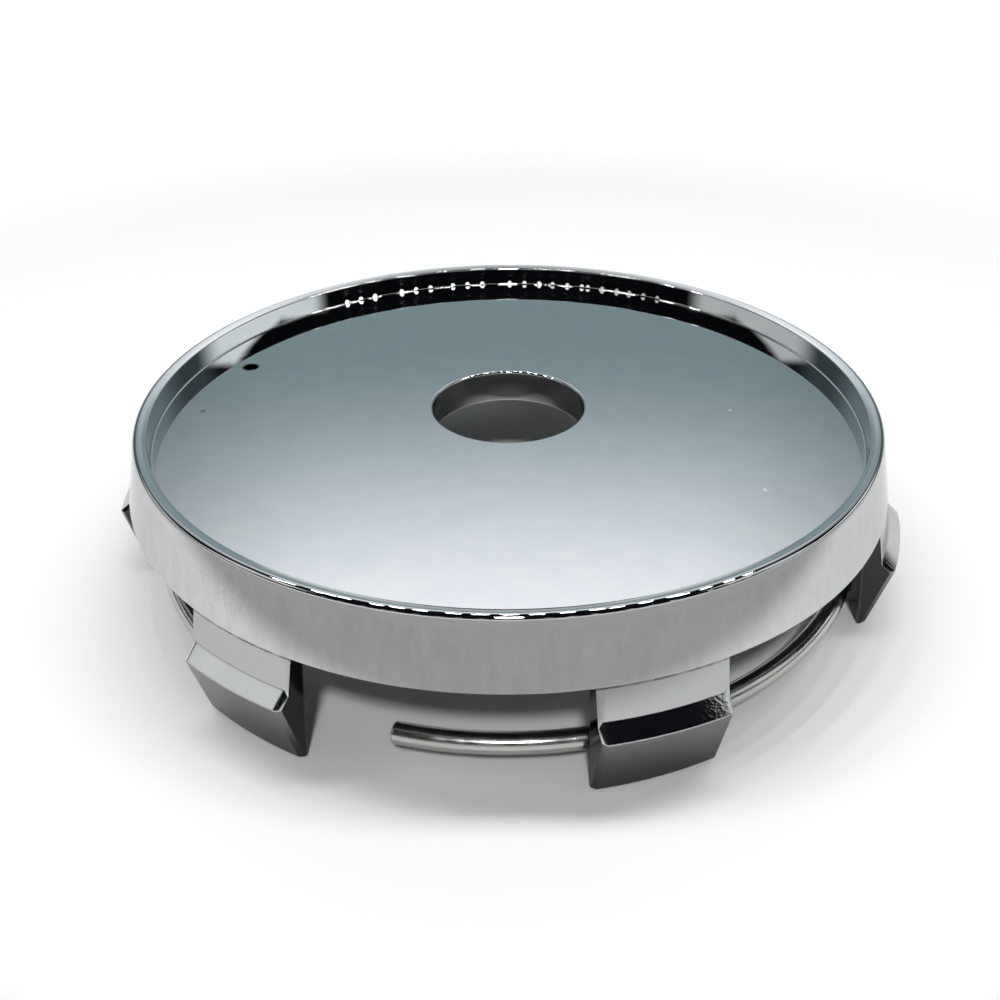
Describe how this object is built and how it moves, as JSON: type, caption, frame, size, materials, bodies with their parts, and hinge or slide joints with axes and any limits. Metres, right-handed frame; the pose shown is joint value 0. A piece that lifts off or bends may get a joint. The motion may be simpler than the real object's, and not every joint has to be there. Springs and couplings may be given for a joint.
{
  "type": "wheel centre cap",
  "caption": "Round chrome wheel centre cap with a recessed mirror face, a raised lip, a centre hole, barbed snap legs and a split spring wire ring behind the face.",
  "frame": {"origin": "on the cap's axis, in the plane of the rim's underside, where the cap seats on the wheel", "axes": "+Z out of the face along the cap's axis, +Y through the middle of one snap leg"},
  "size_m": [0.0626, 0.0614, 0.013],
  "materials": {
    "chrome_plating": "bright mirror plating on moulded plastic",
    "spring_wire": "drawn bright spring wire"
  },
  "bodies": {
    "root": {"cap_body": "chrome_plating", "spring_ring": "spring_wire"}
  },
  "joints": []
}
